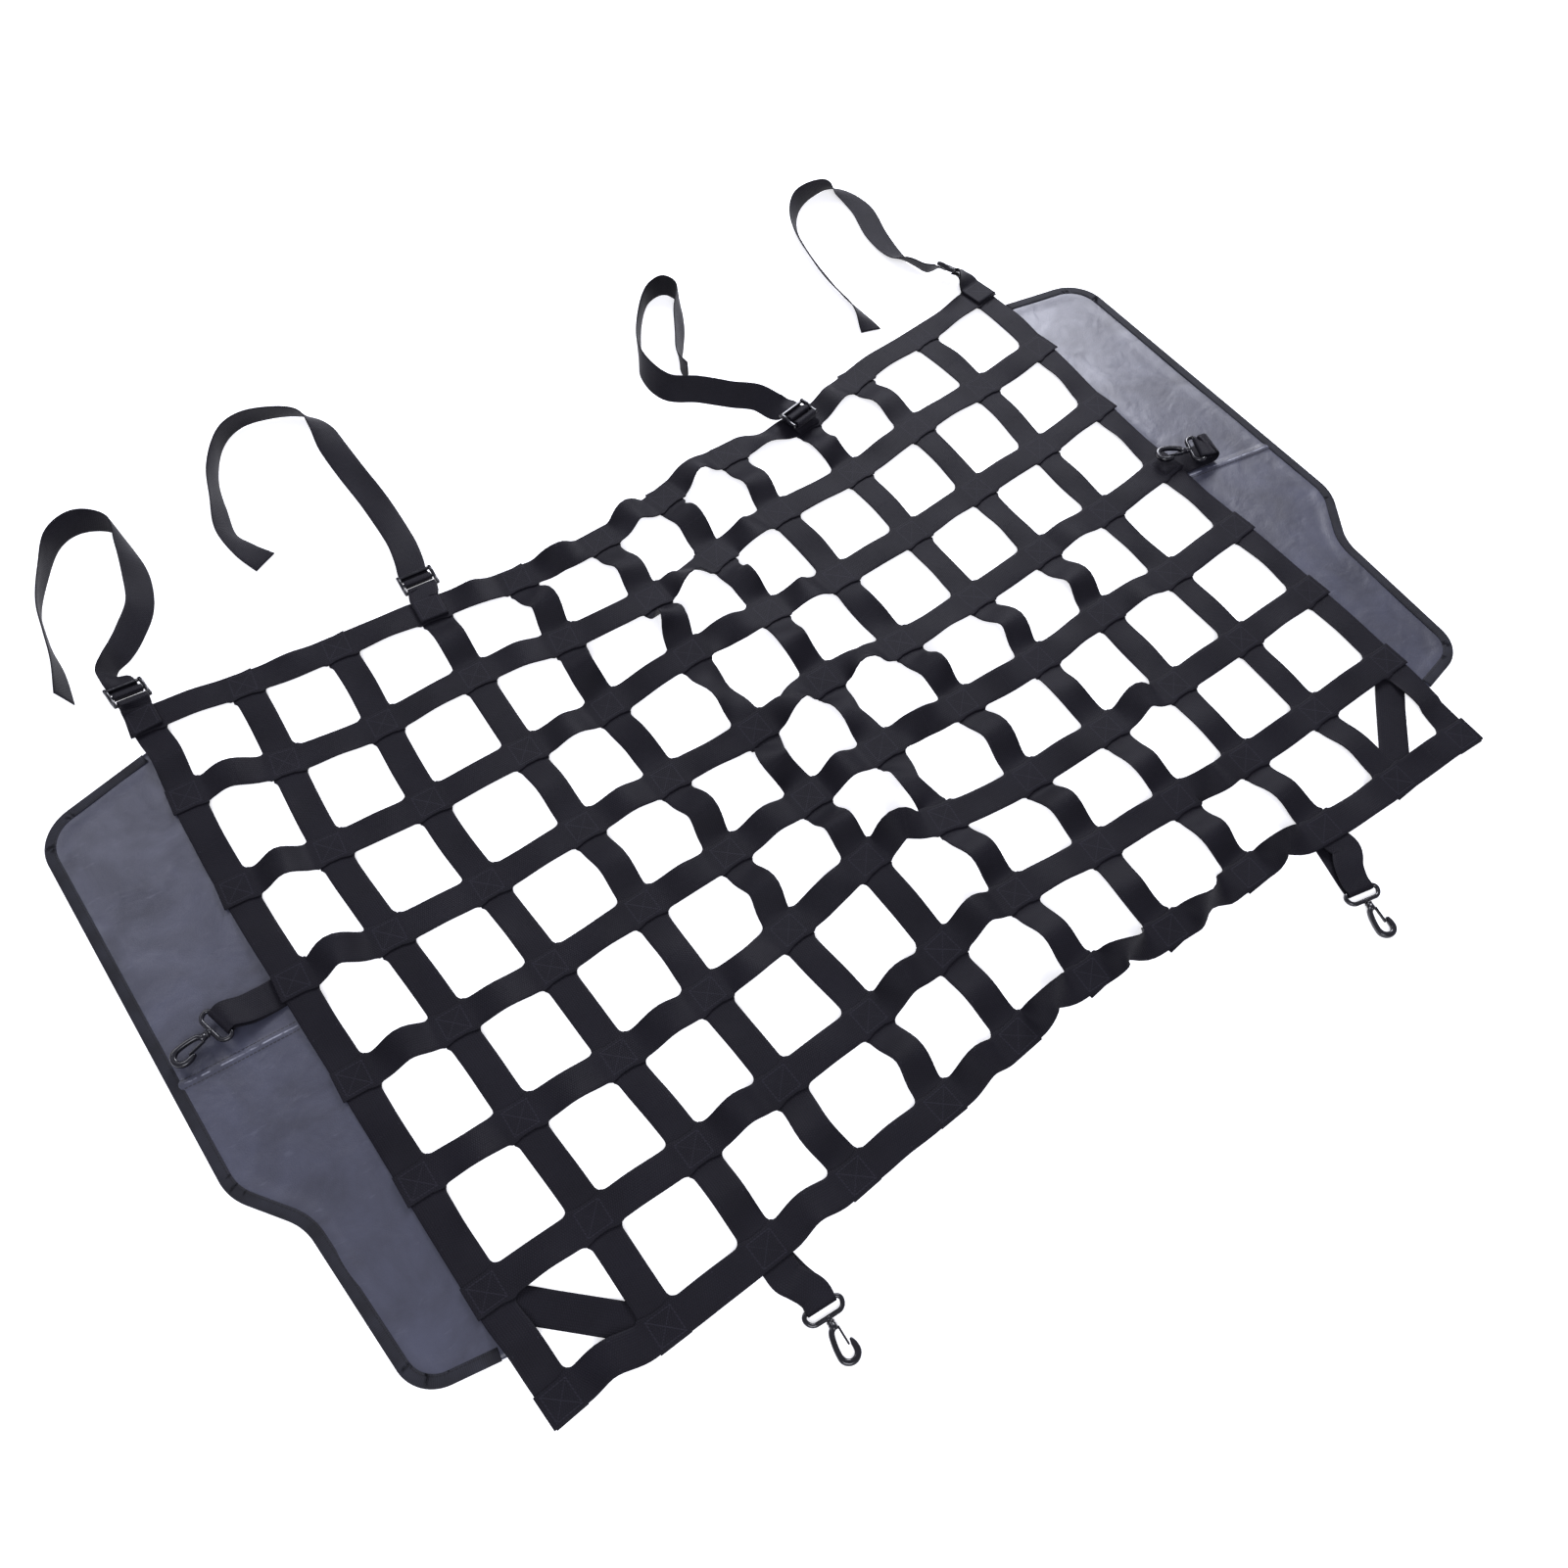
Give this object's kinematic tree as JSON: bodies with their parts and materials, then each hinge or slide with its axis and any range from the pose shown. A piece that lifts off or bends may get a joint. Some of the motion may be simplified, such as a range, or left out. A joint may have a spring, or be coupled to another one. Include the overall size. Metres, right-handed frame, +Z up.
{
  "type": "car dog barrier net",
  "caption": "Flat barrier net of crossed webbing straps with bound leatherette wings, buckled tie straps and swivel snap hooks, laid out loosely.",
  "frame": {"origin": "middle of the base of the bounding box, on the surface the net lies on", "axes": "+X along the long straps, +Y towards the tie straps, +Z up off the surface"},
  "size_m": [1.324, 1.1864, 0.0502],
  "materials": {
    "black_webbing": "woven polypropylene webbing, matte black with a fine cross rib",
    "grey_leatherette": "grey coated leatherette sheet, satin",
    "edge_ribbon": "charcoal grosgrain binding ribbon, matte",
    "black_nylon": "moulded black nylon, semi-gloss"
  },
  "bodies": {
    "net": {"buckle_1": "black_nylon", "buckle_2": "black_nylon", "buckle_3": "black_nylon", "buckle_4": "black_nylon", "column_strap_1": "black_webbing", "column_strap_10": "black_webbing", "column_strap_11": "black_webbing", "column_strap_12": "black_webbing", "column_strap_2": "black_webbing", "column_strap_3": "black_webbing", "column_strap_4": "black_webbing", "column_strap_5": "black_webbing", "column_strap_6": "black_webbing", "column_strap_7": "black_webbing", "column_strap_8": "black_webbing", "column_strap_9": "black_webbing", "corner_strap_left": "black_webbing", "corner_strap_right": "black_webbing", "hook_ring_left": "black_nylon", "hook_ring_lower_left": "black_nylon", "hook_ring_lower_right": "black_nylon", "hook_ring_right": "black_nylon", "hook_tab_left": "black_webbing", "hook_tab_right": "black_webbing", "row_strap_1": "black_webbing", "row_strap_2": "black_webbing", "row_strap_3": "black_webbing", "row_strap_4": "black_webbing", "row_strap_5": "black_webbing", "row_strap_6": "black_webbing", "row_strap_7": "black_webbing", "row_strap_8": "black_webbing", "tie_anchor_1": "black_webbing", "tie_anchor_2": "black_webbing", "tie_anchor_3": "black_webbing", "tie_anchor_4": "black_webbing", "tie_strap_1": "black_webbing", "tie_strap_2": "black_webbing", "tie_strap_3": "black_webbing", "tie_strap_4": "black_webbing", "wing_binding_left": "edge_ribbon", "wing_binding_right": "edge_ribbon", "wing_left": "grey_leatherette", "wing_right": "grey_leatherette"},
    "hook_left": {"snap_hook_left": "black_nylon"},
    "gate_left": {"hook_gate_left": "black_nylon"},
    "hook_right": {"snap_hook_right": "black_nylon"},
    "gate_right": {"hook_gate_right": "black_nylon"},
    "hook_lower_left": {"snap_hook_lower_left": "black_nylon"},
    "gate_lower_left": {"hook_gate_lower_left": "black_nylon"},
    "hook_lower_right": {"snap_hook_lower_right": "black_nylon"},
    "gate_lower_right": {"hook_gate_lower_right": "black_nylon"}
  },
  "joints": [
    {"name": "left_swivel", "type": "hinge", "parent": "net", "child": "hook_left", "pos_m": [-0.61334, -0.05269, 0.0135], "axis": [-0.9703, -0.2419, 0], "continuous": true},
    {"name": "left_gate_spring", "type": "hinge", "parent": "hook_left", "child": "gate_left", "pos_m": [-0.61882, -0.05756, 0.0135], "axis": [0, 0, -1], "range_deg": [0, 13], "stiffness_Nm_per_rad": 0.004, "springref_deg": -6.88},
    {"name": "right_swivel", "type": "hinge", "parent": "net", "child": "hook_right", "pos_m": [0.55836, -0.05756, 0.0185], "axis": [-0.9205, 0.3907, 0], "continuous": true},
    {"name": "right_gate_spring", "type": "hinge", "parent": "hook_right", "child": "gate_right", "pos_m": [0.55105, -0.05815, 0.0185], "axis": [0, 0, -1], "range_deg": [0, 13], "stiffness_Nm_per_rad": 0.004, "springref_deg": -6.88},
    {"name": "lower_left_swivel", "type": "hinge", "parent": "net", "child": "hook_lower_left", "pos_m": [-0.31991, -0.5571, 0.0038], "axis": [-0.0872, -0.9962, 0], "continuous": true},
    {"name": "lower_left_gate_spring", "type": "hinge", "parent": "hook_lower_left", "child": "gate_lower_left", "pos_m": [-0.31709, -0.56388, 0.0038], "axis": [0, 0, -1], "range_deg": [0, 13], "stiffness_Nm_per_rad": 0.004, "springref_deg": -6.88},
    {"name": "lower_right_swivel", "type": "hinge", "parent": "net", "child": "hook_lower_right", "pos_m": [0.30964, -0.55782, 0.0038], "axis": [-0.225, -0.9744, 0], "continuous": true},
    {"name": "lower_right_gate_spring", "type": "hinge", "parent": "hook_lower_right", "child": "gate_lower_right", "pos_m": [0.31149, -0.56492, 0.0038], "axis": [0, 0, -1], "range_deg": [0, 13], "stiffness_Nm_per_rad": 0.004, "springref_deg": -6.88}
  ]
}
